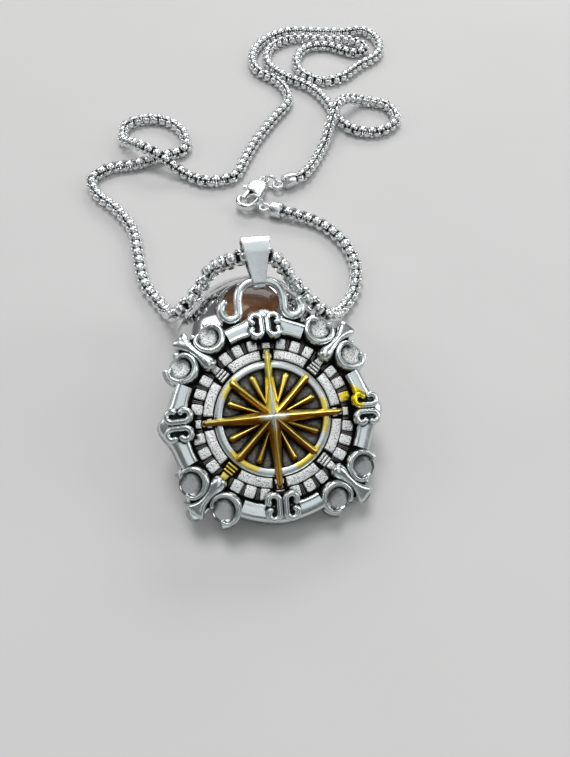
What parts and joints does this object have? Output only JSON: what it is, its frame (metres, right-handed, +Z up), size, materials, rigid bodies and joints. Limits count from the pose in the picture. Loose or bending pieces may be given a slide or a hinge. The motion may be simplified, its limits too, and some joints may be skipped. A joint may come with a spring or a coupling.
{
  "type": "compass pendant necklace on a small half-ball display stand",
  "caption": "Two-tone compass rose pendant with scrolled rim and tapered bail on a long round box chain, leaning on a small polished half-ball stand with a brown cap.",
  "frame": {"origin": "centre of the stand's underside, on the table", "axes": "+Z up, +Y away from the viewer along the laid-out chain, +X to the viewer's right"},
  "size_m": [0.0856, 0.1768, 0.0275],
  "materials": {
    "antique_silver": "plated, antiqued dark in the recesses",
    "gold_wash": "gold wash, worn to silver on the ridges",
    "polished_silver": "polished",
    "chain_steel": "polished links",
    "stand_steel": "mirror polished",
    "stand_wood": "brown, gloss lacquer"
  },
  "bodies": {
    "necklace": {"back_plate": "antique_silver", "rim_north": "antique_silver", "rim_east": "antique_silver", "rim_south": "antique_silver", "rim_west": "antique_silver", "scroll_north_west": "antique_silver", "scroll_north_east": "antique_silver", "scroll_south_east": "antique_silver", "scroll_south_west": "antique_silver", "figure_north": "antique_silver", "figure_east": "antique_silver", "figure_south": "antique_silver", "figure_west": "antique_silver", "dial_ring": "antique_silver", "dial_blocks": "antique_silver", "dial_arcs": "antique_silver", "dial_columns": "antique_silver", "compass_star": "gold_wash", "short_rays": "gold_wash", "hanger_loop": "antique_silver", "bail": "polished_silver", "chain_left": "chain_steel", "chain_right": "chain_steel", "end_cap_left": "polished_silver", "end_cap_right": "polished_silver", "jump_ring_left": "polished_silver", "jump_ring_right": "polished_silver", "clasp_body": "polished_silver", "stand_foot": "stand_steel", "stand_dome": "stand_wood"},
    "lever": {"clasp_lever": "polished_silver"}
  },
  "joints": [
    {"name": "clasp_lever", "type": "hinge", "parent": "necklace", "child": "lever", "pos_m": [-0.00206, 0.05156, 0.00205], "axis": [0, 0, 1], "range_deg": [0, 24], "stiffness_Nm_per_rad": 0.0004}
  ]
}
